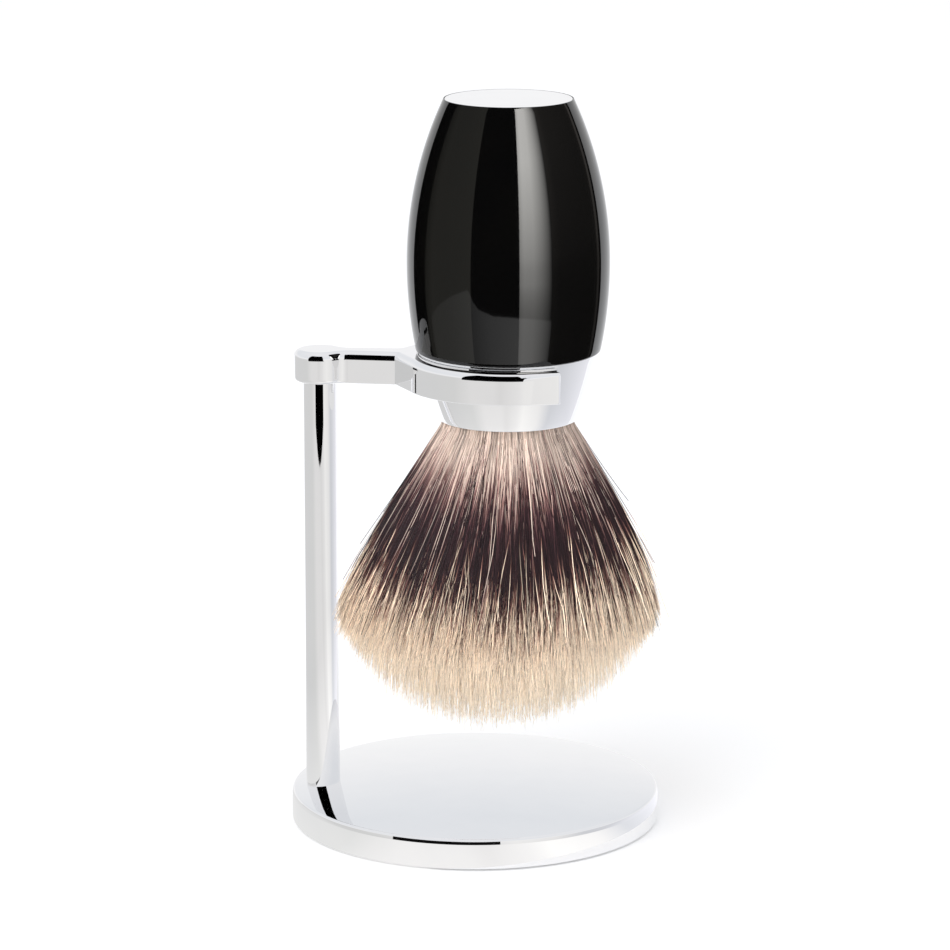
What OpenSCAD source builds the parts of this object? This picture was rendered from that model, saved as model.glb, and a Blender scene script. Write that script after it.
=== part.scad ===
// Shaving brush hanging head down in its stand. The stand is a heavy round base, a post and a
// fork-ended arm. The brush is a barrel-shaped handle, a tapered ferrule and a fanned knot.
// Millimetres, +Z up, +X from the post towards the brush, origin at the centre of the underside.

/* [Base] */
// Diameter of the round base
base_d = 65; // [64:0.5:80]
// Height of the base's rim above the surface that it stands on
rim_h = 5.6; // [5.2:0.1:7]
// How far the middle of the base stands above its rim
dome_h = 2.2; // [0.5:0.1:4]
// Diameter of the non-slip pad
pad_d = 62; // [61:0.1:62]
// Thickness of the non-slip pad
pad_t = 1; // [0.8:0.1:1.2]
// How far the pad stands out below the base
pad_proud = 0.3; // [0.1:0.1:0.5]

/* [Post] */
// Diameter of the post
post_d = 6; // [5.5:0.5:8]
// Distance of the post behind the middle of the base, against the way that the arm reaches
post_back = 27; // [20:0.1:27.4]
// Distance of the post towards the viewer's side of the base
post_side = 0.7; // [0:0.1:3]
// Diameter of the screw and the stud in the ends of the post
stud_d = 4; // [3:0.5:4]

/* [Arm] */
// Height of the arm's underside above the surface
arm_z = 79.3; // [72:0.1:90]
// Thickness of the arm
arm_t = 5.6; // [4.5:0.1:7]
// Turn of the arm about the post, clockwise from above
arm_turn = 5.6; // [0:0.1:20]
// Distance from the post to the brush
reach = 32.9; // [32.5:0.1:36]
// Diameter of the boss over the post
boss_d = 9.2; // [8.8:0.1:10]
// Width of the arm's neck beside the boss
neck_w = 4.8; // [4:0.1:5.4]
// Width of the arm's neck beside the fork
neck_end_w = 5.6; // [5.2:0.1:6]
// Length of the neck, from the post's axis to the corner of the fork
neck_l = 13.5; // [12.5:0.1:13.8]
// Outer diameter of the fork's ring
ring_d = 36.6; // [36:0.1:37.6]
// Length of the straight end of each prong
prong_l = 6.3; // [5:0.1:8]
// Running clearance between the ferrule and its seat in the fork
seat_gap = 0.08; // [0.02:0.01:0.1]

/* [Handle] */
// Widest diameter of the handle
handle_d = 35.1; // [34.8:0.1:35.6]
// Radius of the curve of the handle's side above its widest place
barrel_r = 67.4; // [66:0.1:80]
// Radius of the curve of the handle's side and of the ferrule below that place
taper_r = 76; // [72:0.1:90]
// Height of the handle
handle_h = 43.8; // [40:0.1:44]
// Height of the widest place above the handle's lower face
widest_up = 15.2; // [14:0.1:16]
// Gap between the arm's upper face and the handle
handle_gap = 0.5; // [0.3:0.1:1]
// Diameter of the metal disc in the handle's end
disc_d = 22; // [20:0.1:22]
// Thickness of the metal disc
disc_t = 1.5; // [1:0.1:2]
// Diameter of the tie rod that holds the handle between the disc and the ferrule
rod_d = 5; // [4:0.5:5]

/* [Ferrule and knot] */
// Height of the ferrule below the handle
ferrule_h = 12; // [11:0.1:13]
// How far the ferrule is set in from the line of the handle's side
ferrule_step = 0.33; // [0.2:0.01:0.5]
// Inside diameter of the ferrule's mouth
mouth_d = 22.4; // [21:0.1:22.6]
// Length of the fibres below the ferrule, the loft
loft = 54.2; // [46:0.1:58]
// Widest diameter of the fanned fibres
fan_d = 55.2; // [50:0.1:56]
// Height of the widest place of the fan above the tips in the middle
fan_up = 20.2; // [17:0.1:22]

/* [Hidden] */
$fn = 96;
eps = 0.01;
through = 1;
run_gap = 0.05;

// Base and post
base_r = base_d / 2;
dome_r = (base_r * base_r + dome_h * dome_h) / (2 * dome_h);
dome_z = rim_h + dome_h - dome_r;
rim_round = 0.5;
pad_gap = 0.2;
foot_z = 4.9;
screw_head_d = 6.8;
screw_head_t = 1.7;
screw_key = 2.5;
screw_l = 9;
washer_t = 0.7;
washer_d = 7;
pocket_d = 7.4;
pocket_top = pad_t + screw_head_t + washer_t;
screw_hole_d = stud_d + 0.3;

// Arm
stud_in_arm = 4;
stud_in_post = 6.4;
boss_round = 0.8;
neck_fillet = 3;
fillet_y = neck_w / 2 + neck_fillet;
fillet_bite = 0.04;
fillet_reach = boss_d / 2 + neck_fillet - fillet_bite;
fillet_x = sqrt(pow(fillet_reach, 2) - pow(fillet_y, 2));
fillet_wide = fillet_y * (boss_d / 2) / fillet_reach - 2 * fillet_bite;
ring_r = ring_d / 2;
corner_x = neck_l - reach;
corner_y = neck_end_w / 2;
// The flares and the prongs leave the ring on tangents to a circle this much outside it
tangent_step = 0.03;
tangent_r = ring_r + tangent_step;
corner_far = norm([corner_x, corner_y]);
flare_angle = atan2(-corner_y, -corner_x) + asin(tangent_r / corner_far);
flare_l = sqrt(corner_far * corner_far - tangent_r * tangent_r);
flare_x = corner_x + flare_l * cos(flare_angle);
flare_y = corner_y + flare_l * sin(flare_angle);
prong_from = 76;
prong_lean = 90 - prong_from;
prong_start = tangent_r * [cos(prong_from), sin(prong_from)];
prong_end = prong_start + prong_l * [cos(prong_lean), -sin(prong_lean)];
prong_w = 6;
prong_inner = prong_end - prong_w * [sin(prong_lean), cos(prong_lean)];
mouth_x = prong_end[0] - prong_end[1] * tan(prong_lean);
mouth_far = 30;

// Brush
handle_z = arm_z + arm_t + handle_gap;
handle_top = handle_z + handle_h;
widest_z = handle_z + widest_up;
taper_x = handle_d / 2 - taper_r;
edge_cut = 0.35;
boss_under_d = 10;
boss_under_h = 7;
rod_gap = 0.2;
rod_from = handle_z - 2.6;
nut_key = 8;
nut_t = 4;
tie_washer_t = 1;
tie_washer_d = 9;
web_t = 3;
spigot_d = 24;
nut_room_d = 14;
cup_top = handle_z - 3;
web_z = rod_from + 0.4 + nut_t + tie_washer_t;
spigot_top = web_z + web_t;
seal_d = 1;
seal_ring_d = 27.2;
mouth_z = handle_z - ferrule_h;
cup_wall = 0.6;
cup_h = 7;
cup_r = mouth_d / 2 - run_gap;
resin_t = 3.5;
resin_z = cup_top - cup_wall - resin_t;
binding_t = 0.45;
binding_h = 1.4;
neck_r = cup_r - cup_wall - binding_t;
tip_z = mouth_z - loft;
fan_r = fan_d / 2;
fan_z = tip_z + fan_up;
tip_r = (fan_r * fan_r + fan_up * fan_up) / (2 * fan_up);
fan_bulge = 1.6;

chrome = [0.86, 0.87, 0.89];
steel = [0.62, 0.63, 0.65];
resin_black = [0.03, 0.03, 0.03];
rubber_grey = [0.16, 0.16, 0.17];
cup_ivory = [0.85, 0.82, 0.74];
resin_amber = [0.7, 0.52, 0.3];
fibre_brown = [0.45, 0.33, 0.3];

// Places
module at_post() {
    translate([-post_back, -post_side, 0]) children();
}

module at_arm() {
    at_post() rotate([0, 0, -arm_turn]) children();
}

module at_brush() {
    at_arm() translate([reach, 0, 0]) children();
}

// Shared shapes
module ring_solid(outer_d, inner_d, height) {
    difference() {
        cylinder(h = height, d = outer_d);
        translate([0, 0, -through]) cylinder(h = height + 2 * through, d = inner_d);
    }
}

// The slice above the widest place of the barrel whose side is the handle's curve
module upper_barrel(high) {
    intersection() {
        translate([handle_d / 2 - barrel_r, widest_z]) circle(r = barrel_r, $fn = 720);
        translate([0, widest_z]) square([handle_d, high - widest_z]);
    }
}

// The slice between two heights below that place, with its side moved in by inset
module lower_barrel(low, high, inset) {
    intersection() {
        translate([taper_x, widest_z]) circle(r = taper_r - inset, $fn = 720);
        translate([0, low]) square([handle_d, high - low]);
    }
}

module hex_prism(key, height) {
    cylinder(h = height, d = key / cos(30), $fn = 6);
}

// Base
module base_disc() {
    color(chrome) difference() {
        rotate_extrude() base_section();
        translate([0, 0, -through]) cylinder(h = pad_t + through, d = pad_d + 2 * pad_gap);
        at_post() cylinder(h = pocket_top, d = pocket_d);
        at_post() cylinder(h = rim_h, d = screw_hole_d);
        at_post() translate([0, 0, foot_z]) cylinder(h = rim_h, d = post_d + 2 * run_gap);
    }
}

module base_section() {
    intersection() {
        translate([0, pad_proud]) rim_outline();
        translate([0, dome_z]) circle(r = dome_r, $fn = 2880);
    }
}

module rim_outline() {
    top = rim_h + dome_h;
    polygon([[0, 0], [base_r - rim_round / 2, 0], [base_r, rim_round / 2],
             [base_r, rim_h - pad_proud - rim_round], [base_r - rim_round, rim_h - pad_proud],
             [base_r - rim_round, top], [0, top]]);
}

module base_pad() {
    color(rubber_grey) cylinder(h = pad_t, d = pad_d);
}

// Post
module post() {
    color(chrome) at_post() difference() {
        translate([0, 0, foot_z]) cylinder(h = arm_z - foot_z, d = post_d);
        translate([0, 0, foot_z - through]) cylinder(h = screw_l + through, d = stud_d);
        translate([0, 0, arm_z - stud_in_post - 0.6]) {
            cylinder(h = stud_in_post + 0.6 + through, d = stud_d + 2 * run_gap);
        }
    }
}

module post_screw() {
    shank_top = foot_z + screw_l - through;
    color(steel) at_post() translate([0, 0, pad_t]) difference() {
        union() {
            cylinder(h = screw_head_t, d = screw_head_d);
            cylinder(h = shank_top - pad_t, d = stud_d);
        }
        translate([0, 0, -through]) hex_prism(screw_key, through + screw_head_t * 0.7);
    }
}

module post_washer() {
    color(steel) at_post() translate([0, 0, pad_t + screw_head_t]) {
        ring_solid(washer_d, screw_hole_d, washer_t);
    }
}

// Arm
module arm_fork() {
    color(chrome) at_arm() difference() {
        translate([0, 0, arm_z]) union() {
            rotate_extrude() boss_section();
            linear_extrude(arm_t) neck_outline();
            translate([reach, 0, 0]) linear_extrude(arm_t) fork_outline();
        }
        translate([0, 0, arm_z - through]) cylinder(h = stud_in_arm + through, d = stud_d);
        translate([reach, 0, 0]) rotate_extrude() {
            lower_barrel(arm_z - through, arm_z + arm_t + through, ferrule_step - seat_gap);
        }
        translate([reach, 0, arm_z - through]) linear_extrude(arm_t + 2 * through) fork_mouth();
    }
}

module boss_section() {
    translate([0, boss_round]) square([boss_d / 2, arm_t - boss_round]);
    square([boss_d / 2 - boss_round, arm_t]);
    translate([boss_d / 2 - boss_round, boss_round]) circle(r = boss_round);
}

module neck_outline() {
    difference() {
        polygon([[0, -fillet_wide], [fillet_x, -fillet_wide], [fillet_x, -neck_w / 2],
                 [neck_l, -neck_end_w / 2], [neck_l, neck_end_w / 2], [fillet_x, neck_w / 2],
                 [fillet_x, fillet_wide], [0, fillet_wide]]);
        translate([fillet_x, fillet_y]) circle(r = neck_fillet);
        translate([fillet_x, -fillet_y]) circle(r = neck_fillet);
    }
}

module fork_outline() {
    circle(r = ring_r);
    polygon([[corner_x - eps, -corner_y], [corner_x, -corner_y], [flare_x, -flare_y], [0, 0],
             [flare_x, flare_y], [corner_x, corner_y], [corner_x - eps, corner_y]]);
    for (side = [0, 1]) mirror([0, side]) polygon([prong_start, prong_end, prong_inner, [0, 0]]);
}

module fork_mouth() {
    spread = prong_end[1] + (mouth_far - prong_end[0]) / tan(prong_lean);
    polygon([[mouth_x, 0], [mouth_far, spread], [mouth_far, -spread]]);
}

module arm_stud() {
    color(steel) at_post() translate([0, 0, arm_z - stud_in_post]) {
        cylinder(h = stud_in_post + stud_in_arm, d = stud_d);
    }
}

// Handle
module handle() {
    color(resin_black) at_brush() difference() {
        rotate_extrude() {
            upper_barrel(handle_top);
            intersection() {
                lower_barrel(handle_z, widest_z, 0);
                lower_bevel();
            }
        }
        translate([0, 0, handle_z - through]) {
            cylinder(h = spigot_top - handle_z + 0.1 + through, d = spigot_d + 2 * run_gap);
            cylinder(h = handle_h + 2 * through, d = rod_d + 2 * rod_gap);
        }
        translate([0, 0, handle_top - disc_t - boss_under_h - rod_gap]) {
            cylinder(h = handle_h, d = boss_under_d + 2 * run_gap);
        }
        translate([0, 0, handle_top - disc_t]) cylinder(h = disc_t + 1, d = disc_d + 2 * run_gap);
    }
}

// Breaks the handle's lower edge with a small bevel
module lower_bevel() {
    low_r = taper_x + sqrt(pow(taper_r, 2) - pow(widest_up, 2));
    polygon([[0, handle_z], [low_r - edge_cut, handle_z], [low_r + edge_cut, handle_z + 2 * edge_cut],
             [handle_d, handle_z + 2 * edge_cut], [handle_d, widest_z], [0, widest_z]]);
}

module end_disc() {
    color(chrome) at_brush() translate([0, 0, handle_top - disc_t]) difference() {
        union() {
            cylinder(h = disc_t, d = disc_d);
            translate([0, 0, -boss_under_h]) cylinder(h = boss_under_h, d = boss_under_d);
        }
        translate([0, 0, -boss_under_h - through]) {
            cylinder(h = boss_under_h, d = rod_d);
        }
    }
}

module tie_rod() {
    rod_top = handle_top - disc_t - 2 * through;
    color(steel) at_brush() translate([0, 0, rod_from]) cylinder(h = rod_top - rod_from, d = rod_d);
}

module tie_nut() {
    color(steel) at_brush() translate([0, 0, web_z - tie_washer_t - nut_t]) difference() {
        hex_prism(nut_key, nut_t);
        translate([0, 0, -through]) cylinder(h = nut_t + 2 * through, d = rod_d);
    }
}

module tie_washer() {
    color(steel) at_brush() translate([0, 0, web_z - tie_washer_t]) {
        ring_solid(tie_washer_d, rod_d + 2 * rod_gap, tie_washer_t);
    }
}

// Ferrule
module ferrule() {
    color(chrome) at_brush() difference() {
        union() {
            rotate_extrude() lower_barrel(mouth_z, handle_z, ferrule_step);
            translate([0, 0, handle_z - eps]) cylinder(h = spigot_top - handle_z + eps, d = spigot_d);
        }
        translate([0, 0, mouth_z - through]) {
            cylinder(h = cup_top + run_gap - mouth_z + through, d = mouth_d);
            cylinder(h = web_z - mouth_z + through, d = nut_room_d);
            cylinder(h = handle_h, d = rod_d + 2 * rod_gap);
        }
        translate([0, 0, handle_z - seal_d]) {
            ring_solid(seal_ring_d + seal_d + 2 * run_gap, seal_ring_d - seal_d - 2 * run_gap, seal_d + eps);
        }
    }
}

module ferrule_seal() {
    color(rubber_grey) at_brush() translate([0, 0, handle_z - seal_d / 2]) {
        rotate_extrude() translate([seal_ring_d / 2, 0]) circle(d = seal_d, $fn = 48);
    }
}

// Knot
module knot_cup() {
    color(cup_ivory) at_brush() translate([0, 0, cup_top - cup_h]) difference() {
        cylinder(h = cup_h, r = cup_r);
        translate([0, 0, -through]) cylinder(h = cup_h - cup_wall + through, r = cup_r - cup_wall);
    }
}

module knot_resin() {
    color(resin_amber) at_brush() translate([0, 0, resin_z]) {
        cylinder(h = resin_t, r = cup_r - cup_wall);
    }
}

module knot_binding() {
    color(cup_ivory) at_brush() translate([0, 0, resin_z - binding_h]) {
        ring_solid(2 * (neck_r + binding_t), 2 * neck_r, binding_h);
    }
}

module fibre_bundle() {
    mid_z = (mouth_z + fan_z) / 2;
    mid_r = (neck_r + fan_r) / 2 + fan_bulge;
    color(fibre_brown) at_brush() rotate_extrude() intersection() {
        polygon([[0, resin_z], [neck_r, resin_z], [neck_r, mouth_z + 1], [mouth_d / 2 - 0.4, mouth_z - 1],
                 [mid_r, mid_z], [fan_r, fan_z + 1], [fan_r, 0], [0, 0]]);
        translate([0, tip_z + tip_r]) circle(r = tip_r, $fn = 360);
        translate([0, tip_z]) square([fan_r, resin_z]);
    }
}

base_disc();
base_pad();
post();
post_screw();
post_washer();
arm_fork();
arm_stud();
handle();
end_disc();
tie_rod();
tie_nut();
tie_washer();
ferrule();
ferrule_seal();
knot_cup();
knot_resin();
knot_binding();
fibre_bundle();
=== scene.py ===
# Shaving brush hanging in its chrome stand: visible pieces, finishes, fibres and studio
import bpy
import math
import numpy as np
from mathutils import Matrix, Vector


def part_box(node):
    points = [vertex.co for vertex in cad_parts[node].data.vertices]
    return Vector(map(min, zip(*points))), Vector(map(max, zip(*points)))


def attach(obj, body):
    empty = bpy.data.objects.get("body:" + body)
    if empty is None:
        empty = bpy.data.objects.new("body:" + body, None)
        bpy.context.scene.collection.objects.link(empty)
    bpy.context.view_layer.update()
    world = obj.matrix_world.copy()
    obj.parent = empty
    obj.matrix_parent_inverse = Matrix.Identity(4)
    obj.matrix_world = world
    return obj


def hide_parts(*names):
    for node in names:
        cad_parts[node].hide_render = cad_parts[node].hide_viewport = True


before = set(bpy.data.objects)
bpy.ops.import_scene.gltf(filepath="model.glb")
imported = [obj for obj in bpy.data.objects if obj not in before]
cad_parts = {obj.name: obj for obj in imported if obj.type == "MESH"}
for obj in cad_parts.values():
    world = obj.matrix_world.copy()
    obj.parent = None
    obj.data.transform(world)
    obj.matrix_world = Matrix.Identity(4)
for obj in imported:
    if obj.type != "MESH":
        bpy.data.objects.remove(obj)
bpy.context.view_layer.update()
scene = bpy.context.scene
mm = 0.001
print("frame loaded:", len(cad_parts), "nodes")


# Places, all read from the frame and kept in millimetres
def middle(node):
    low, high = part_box(node)
    return (low.x + high.x) / 2 / mm, (low.y + high.y) / 2 / mm


def lowest(node):
    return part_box(node)[0].z / mm


def highest(node):
    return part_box(node)[1].z / mm


def width(node):
    low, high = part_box(node)
    return (high.y - low.y) / mm


postAxis = middle("post")
brushAxis = middle("handle")
armAngle = math.atan2(brushAxis[1] - postAxis[1], brushAxis[0] - postAxis[0])
reach = math.hypot(brushAxis[0] - postAxis[0], brushAxis[1] - postAxis[1])


# Node sockets that take part in ordinary sums
class Wire:
    def __init__(self, graph, socket):
        self.graph = graph
        self.socket = socket

    def sum(self, operation, first, second):
        return self.graph.add("ShaderNodeMath", {"operation": operation}, {0: first, 1: second})

    def __add__(self, other):
        return self.sum("ADD", self, other)

    def __radd__(self, other):
        return self.sum("ADD", other, self)

    def __sub__(self, other):
        return self.sum("SUBTRACT", self, other)

    def __rsub__(self, other):
        return self.sum("SUBTRACT", other, self)

    def __mul__(self, other):
        return self.sum("MULTIPLY", self, other)

    def __rmul__(self, other):
        return self.sum("MULTIPLY", other, self)


class Graph:
    def __init__(self, tree):
        self.tree = tree

    def feed(self, target, value):
        if isinstance(value, Wire):
            self.tree.links.new(value.socket, target)
        else:
            target.default_value = value

    def add(self, kind, settings=None, inputs=None, output=0):
        node = self.tree.nodes.new(kind)
        for name, value in (settings or {}).items():
            if name == "stops":
                elements = node.color_ramp.elements
                while len(elements) < len(value):
                    elements.new(0.5)
                for element, (place, colour) in zip(elements, value):
                    element.position = place
                    element.color = (*colour, 1)
            else:
                setattr(node, name, value)
        for name, value in (inputs or {}).items():
            self.feed(node.inputs[name], value)
        return Wire(self, node.outputs[output])

    def noise(self, scale, detail=2, vector=None, output=0):
        place = vector or self.add("ShaderNodeTexCoord", output="Object")
        return self.add("ShaderNodeTexNoise", None,
                        {"Vector": place, "Scale": scale, "Detail": detail}, output)

    def stretched(self, scale):
        place = self.add("ShaderNodeTexCoord", output="Object")
        return self.add("ShaderNodeMapping", None, {"Vector": place, "Scale": scale})

    def bump(self, height, distance, strength=1.0):
        return self.add("ShaderNodeBump", None,
                        {"Height": height, "Distance": distance, "Strength": strength})

    def tint(self, factor, first, second, blend="MIX"):
        return self.add("ShaderNodeMix", {"data_type": "RGBA", "blend_type": blend},
                        {0: factor, 6: first, 7: second}, 2)


class Finish(Graph):
    def __init__(self, name, constants):
        self.material = bpy.data.materials.new(name)
        self.material.use_nodes = True
        super().__init__(self.material.node_tree)
        self.shader = self.tree.nodes["Principled BSDF"]
        self.set(constants)

    def set(self, values):
        for name, value in values.items():
            self.feed(self.shader.inputs[name], value)


# Finishes
chromeLook = dict(colour=(0.91, 0.91, 0.915, 1), dullColour=(0.87, 0.873, 0.885, 1),
                  roughness=0.012, hazeRoughness=0.02, hazeScale=160, grainScale=2600, grain=2e-7)
resinLook = dict(colour=(0.0015, 0.0015, 0.0018, 1), cloudColour=(0.003, 0.0028, 0.0025, 1),
                 ior=1.5, roughness=0.03, hazeRoughness=0.03, hazeScale=90, grainScale=900, grain=1e-6)
steelLook = dict(colour=(0.5, 0.5, 0.52, 1), dullColour=(0.34, 0.34, 0.36, 1), roughness=0.24,
                 lineRoughness=0.2, lineScale=300, lineStretch=(1, 1, 14), lineDepth=5e-6)
rubberLook = dict(colour=(0.035, 0.036, 0.04, 1), wornColour=(0.07, 0.07, 0.075, 1), roughness=0.62,
                  dustRoughness=0.25, specular=0.35, rings=420, dustScale=500, relief=2e-4,
                  dustRelief=0.4, reliefStrength=0.8)
mouldedLook = dict(ior=1.45, cloudScale=220, cloudRoughness=0.15, cloudDepth=3e-5)
cupLook = dict(colour=(0.66, 0.6, 0.48, 1), shadeColour=(0.52, 0.45, 0.34, 1), roughness=0.45)
glueLook = dict(colour=(0.42, 0.25, 0.1, 1), shadeColour=(0.24, 0.13, 0.05, 1), roughness=0.2)


def makeChrome():
    look = chromeLook
    finish = Finish("polishedChrome", {"Metallic": 1.0})
    haze = finish.noise(look["hazeScale"], 3)
    grain = finish.noise(look["grainScale"], 2)
    finish.set({"Base Color": finish.tint(haze, look["colour"], look["dullColour"]),
                "Roughness": look["roughness"] + look["hazeRoughness"] * haze,
                "Normal": finish.bump(grain, look["grain"])})
    return finish.material


def makeResin():
    look = resinLook
    finish = Finish("glossBlackResin", {"IOR": look["ior"]})
    haze = finish.noise(look["hazeScale"], 3)
    grain = finish.noise(look["grainScale"], 1)
    finish.set({"Base Color": finish.tint(haze, look["colour"], look["cloudColour"]),
                "Roughness": look["roughness"] + look["hazeRoughness"] * haze,
                "Normal": finish.bump(grain, look["grain"])})
    return finish.material


def makeSteel():
    look = steelLook
    finish = Finish("turnedSteel", {"Metallic": 1.0})
    lines = finish.noise(look["lineScale"], 3, finish.stretched(look["lineStretch"]))
    finish.set({"Base Color": finish.tint(lines, look["colour"], look["dullColour"]),
                "Roughness": look["roughness"] + look["lineRoughness"] * lines,
                "Normal": finish.bump(lines, look["lineDepth"])})
    return finish.material


def makeRubber():
    look = rubberLook
    finish = Finish("padRubber", {"Specular IOR Level": look["specular"]})
    place = finish.add("ShaderNodeTexCoord", output="Object")
    rings = finish.add("ShaderNodeTexWave", {"wave_type": "RINGS", "rings_direction": "Z"},
                       {"Vector": place, "Scale": look["rings"]})
    dust = finish.noise(look["dustScale"], 4)
    relief = rings + look["dustRelief"] * dust
    finish.set({"Base Color": finish.tint(dust, look["colour"], look["wornColour"]),
                "Roughness": look["roughness"] + look["dustRoughness"] * dust,
                "Normal": finish.bump(relief, look["relief"], look["reliefStrength"])})
    return finish.material


def makeMoulded(name, look):
    shared = mouldedLook
    finish = Finish(name, {"IOR": shared["ior"]})
    cloud = finish.noise(shared["cloudScale"], 4)
    finish.set({"Base Color": finish.tint(cloud, look["colour"], look["shadeColour"]),
                "Roughness": look["roughness"] + shared["cloudRoughness"] * cloud,
                "Normal": finish.bump(cloud, shared["cloudDepth"])})
    return finish.material


# Fibre colours at shares of the way from the ferrule's mouth to the tips. Each strand has its own
# tone, part of it a painted shade shared by its lock, and stretches and shifts the zones by its own
# amount
fibreLook = dict(
    zones=[(0.0, (0.42, 0.32, 0.265)), (0.06, (0.58, 0.47, 0.4)), (0.14, (0.56, 0.43, 0.365)),
           (0.19, (0.25, 0.13, 0.115)), (0.24, (0.055, 0.02, 0.024)), (0.34, (0.014, 0.005, 0.007)),
           (0.5, (0.024, 0.009, 0.011)), (0.55, (0.24, 0.11, 0.085)), (0.595, (0.86, 0.67, 0.5)),
           (0.75, (1.0, 0.84, 0.66)), (1.0, (1.0, 0.86, 0.68))],
    stretch=0.3, shift=0.22, roughness=0.5, toneRoughness=0.2, specular=0.2, middle=0.88,
    contrast=1.3, evenTips=0.5, packedPaintedShade=0.6, packedRelief=4e-4)


def makeFibre(name, packed=False):
    look = fibreLook
    finish = Finish(name, {"Specular IOR Level": look["specular"]})
    along = finish.add("ShaderNodeAttribute", {"attribute_name": "along"}, output="Fac")
    tone = finish.add("ShaderNodeAttribute", {"attribute_name": "tone"}, output="Fac")
    shift = finish.add("ShaderNodeAttribute", {"attribute_name": "shift"}, output="Fac")
    if packed:
        grain = finish.add("ShaderNodeAttribute", {"attribute_name": "grain"}, output="Vector")
        tone = finish.noise(1.0, 3, grain)
    place = along * (1 + look["stretch"] * (shift - 0.5)) + look["shift"] * (shift - 0.5)
    zone = finish.add("ShaderNodeValToRGB", {"stops": look["zones"]}, {"Fac": place})
    contrast = look["contrast"] * (1 - look["evenTips"] * along)
    # Packed fibres are darkened by a painted shade, in place of the shade inside the fibre mass
    level = look["packedPaintedShade"] if packed else 1.0
    brightness = level * (look["middle"] + contrast * (tone - 0.5))
    shade = finish.add("ShaderNodeCombineColor", None,
                       {"Red": brightness, "Green": brightness, "Blue": brightness})
    finish.set({"Base Color": finish.tint(1.0, zone, shade, "MULTIPLY"),
                "Roughness": look["roughness"] + look["toneRoughness"] * tone})
    if packed:
        finish.set({"Normal": finish.bump(tone, look["packedRelief"])})
    return finish.material


chrome = makeChrome()
blackResin = makeResin()
plainSteel = makeSteel()
padRubber = makeRubber()
cupPlastic = makeMoulded("cupIvory", cupLook)
knotGlue = makeMoulded("knotGlue", glueLook)
fibre = makeFibre("fibreStrands")
innerFibre = makeFibre("innerFibres", True)
print("finishes made:", len(bpy.data.materials))


# Mesh makers. Shapes are in millimetres
def makePiece(name, points, faces, material, body, nodes=(), sharp=30):
    mesh = bpy.data.meshes.new(name)
    mesh.from_pydata((np.asarray(points, float) * mm).tolist(), [], faces)
    mesh.validate()
    mesh.shade_smooth()
    mesh.set_sharp_from_angle(angle=math.radians(sharp))
    mesh.materials.append(material)
    piece = bpy.data.objects.new(name, mesh)
    scene.collection.objects.link(piece)
    weighted = piece.modifiers.new("weightedNormals", "WEIGHTED_NORMAL")
    weighted.keep_sharp = True
    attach(piece, body)
    if nodes:
        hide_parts(*nodes)
    return piece


# Corners given as (x, y, rounding): an arc takes the place of each rounded one
def softened(corners, steps=4, closed=False):
    points = []
    total = len(corners)
    for index, (x, y, rounding) in enumerate(corners):
        here = Vector((x, y))
        if not rounding or not closed and index in (0, total - 1):
            points.append(tuple(here))
            continue
        before = (Vector(corners[index - 1][:2]) - here).normalized()
        after = (Vector(corners[(index + 1) % total][:2]) - here).normalized()
        half = before.angle(after) / 2
        centre = here + (before + after).normalized() * (rounding / math.sin(half))
        first = here + before * (rounding / math.tan(half)) - centre
        last = here + after * (rounding / math.tan(half)) - centre
        sweep = first.angle(last)
        for step in range(steps + 1):
            share = step / steps
            turned = first * math.sin((1 - share) * sweep) + last * math.sin(share * sweep)
            points.append(tuple(centre + turned / math.sin(sweep)))
    return points


# A profile of (radius, height) points turned about a vertical axis. A closed profile makes a ring
def turned(name, profile, axis, material, body, slot, nodes=(), segments=160, closed=False, sharp=30):
    angles = np.arange(segments) * 2 * math.pi / segments
    points = []
    rings = []
    for radius, height in profile:
        start = len(points)
        if radius < 1e-6:
            points.append((axis[0], axis[1], height))
            rings.append([start] * segments)
            continue
        points += [(axis[0] + radius * math.cos(a), axis[1] + radius * math.sin(a), height)
                   for a in angles]
        rings.append(list(range(start, start + segments)))
    faces = []
    pairs = list(zip(rings, rings[1:])) + ([(rings[-1], rings[0])] if closed else [])
    for lower, upper in pairs:
        for k in range(segments):
            n = (k + 1) % segments
            face = [lower[k], lower[n], upper[n], upper[k]]
            face = [v for i, v in enumerate(face) if v not in face[:i]]
            if len(face) > 2:
                faces.append(face)
    return makePiece(name, points, faces, material, body, nodes, sharp)


# Points on a side that is an arc of the given radius, bulging outwards at the given height
def arcSide(widest, radius, atHeight, low, high, spacing=1.0):
    count = max(2, round(abs(high - low) / spacing))
    heights = [low + (high - low) * k / count for k in range(count + 1)]
    return [(widest - radius + math.sqrt(radius ** 2 - (h - atHeight) ** 2), h, 0) for h in heights]


# Stand
baseShape = dict(domeRise=2.2, domeRings=24, edge=0.5, bevel=0.9, bevelIn=0.167, bevelRounding=0.3,
                 padRecess=31.2, recessTop=1.0, recessRounding=0.1, under=0.3, segments=256)


def makeBase():
    shape = baseShape
    radius = width("base_disc") / 2
    top = highest("base_disc")
    rim = top - shape["domeRise"]
    domeRadius = (radius ** 2 + shape["domeRise"] ** 2) / (2 * shape["domeRise"])
    dome = []
    for k in range(shape["domeRings"]):
        r = (radius - shape["edge"]) * k / shape["domeRings"]
        dome.append((r, top - domeRadius + math.sqrt(domeRadius ** 2 - r ** 2), 0))
    edge = [(radius - shape["bevelIn"], rim, shape["edge"]),
            (radius, rim - shape["bevel"], shape["bevelRounding"]),
            (radius, shape["under"], shape["edge"] / 2),
            (shape["padRecess"], shape["under"], shape["recessRounding"]),
            (shape["padRecess"], shape["recessTop"], 0), (0, shape["recessTop"], 0)]
    profile = softened(dome + edge, 5)
    centre = middle("base_disc")
    turned("stand_base", profile[::-1], centre, chrome, "stand", "chrome", ["base_disc"],
           shape["segments"])


postShape = dict(edge=0.1, segments=96)


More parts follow.
